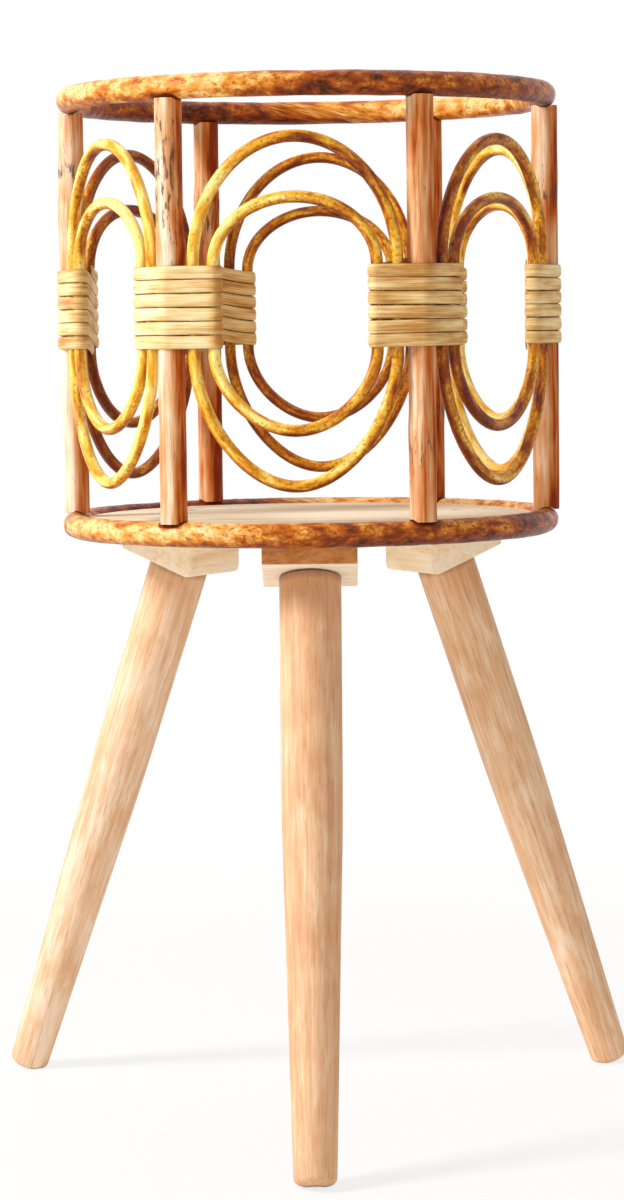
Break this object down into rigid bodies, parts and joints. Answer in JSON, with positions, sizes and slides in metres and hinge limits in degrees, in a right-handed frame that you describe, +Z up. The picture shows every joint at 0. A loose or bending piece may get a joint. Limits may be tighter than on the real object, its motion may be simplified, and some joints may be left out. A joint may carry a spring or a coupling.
{
  "type": "plant stand",
  "caption": "Round rattan plant stand: a basket of oval cane hoops bound to upright posts, with a board floor, on splayed turned wooden legs.",
  "frame": {"origin": "on the floor, under the middle of the stand's bounding box", "axes": "+Z up; one leg points to the front, -Y; +X is to the right of someone who faces the front"},
  "size_m": [0.3966, 0.377, 0.6181],
  "materials": {
    "rattan_pole": "varnished rattan pole with its skin on, mottled orange brown",
    "peeled_pole": "peeled rattan pole, satin, pinkish tan",
    "glossy_cane": "bent cane with its skin on, varnished, golden with burnt marks",
    "cane_strap": "flat cane strap, satin straw",
    "leg_wood": "turned softwood, clear satin finish",
    "block_wood": "pale sawn wood",
    "board_wood": "pale plywood disc",
    "zinc_steel": "zinc plated",
    "brass": "plain brass"
  },
  "bodies": {
    "root": {"leg_front": "leg_wood", "leg_bolt_front": "zinc_steel", "leg_insert_front": "brass", "leg_block_front": "block_wood", "block_screw_front_a": "zinc_steel", "block_screw_front_b": "zinc_steel", "leg_right": "leg_wood", "leg_bolt_right": "zinc_steel", "leg_insert_right": "brass", "leg_block_right": "block_wood", "block_screw_right_a": "zinc_steel", "block_screw_right_b": "zinc_steel", "leg_left": "leg_wood", "leg_bolt_left": "zinc_steel", "leg_insert_left": "brass", "leg_block_left": "block_wood", "block_screw_left_a": "zinc_steel", "block_screw_left_b": "zinc_steel", "top_ring": "rattan_pole", "bottom_ring": "rattan_pole", "seat_board": "board_wood", "post_front_right": "peeled_pole", "top_nail_front_right": "zinc_steel", "bottom_nail_front_right": "zinc_steel", "binding_front_right": "cane_strap", "post_right": "peeled_pole", "top_nail_right": "zinc_steel", "bottom_nail_right": "zinc_steel", "binding_right": "cane_strap", "post_rear_right": "peeled_pole", "top_nail_rear_right": "zinc_steel", "bottom_nail_rear_right": "zinc_steel", "binding_rear_right": "cane_strap", "post_rear_left": "peeled_pole", "top_nail_rear_left": "zinc_steel", "bottom_nail_rear_left": "zinc_steel", "binding_rear_left": "cane_strap", "post_left": "peeled_pole", "top_nail_left": "zinc_steel", "bottom_nail_left": "zinc_steel", "binding_left": "cane_strap", "post_front_left": "peeled_pole", "top_nail_front_left": "zinc_steel", "bottom_nail_front_left": "zinc_steel", "binding_front_left": "cane_strap", "board_brad_front_right": "zinc_steel", "board_brad_rear_right": "zinc_steel", "board_brad_left": "zinc_steel", "outer_hoop_front": "glossy_cane", "inner_hoop_front": "glossy_cane", "outer_hoop_front_right": "glossy_cane", "inner_hoop_front_right": "glossy_cane", "outer_hoop_rear_right": "glossy_cane", "inner_hoop_rear_right": "glossy_cane", "outer_hoop_rear": "glossy_cane", "inner_hoop_rear": "glossy_cane", "outer_hoop_rear_left": "glossy_cane", "inner_hoop_rear_left": "glossy_cane", "outer_hoop_front_left": "glossy_cane", "inner_hoop_front_left": "glossy_cane"}
  },
  "joints": []
}
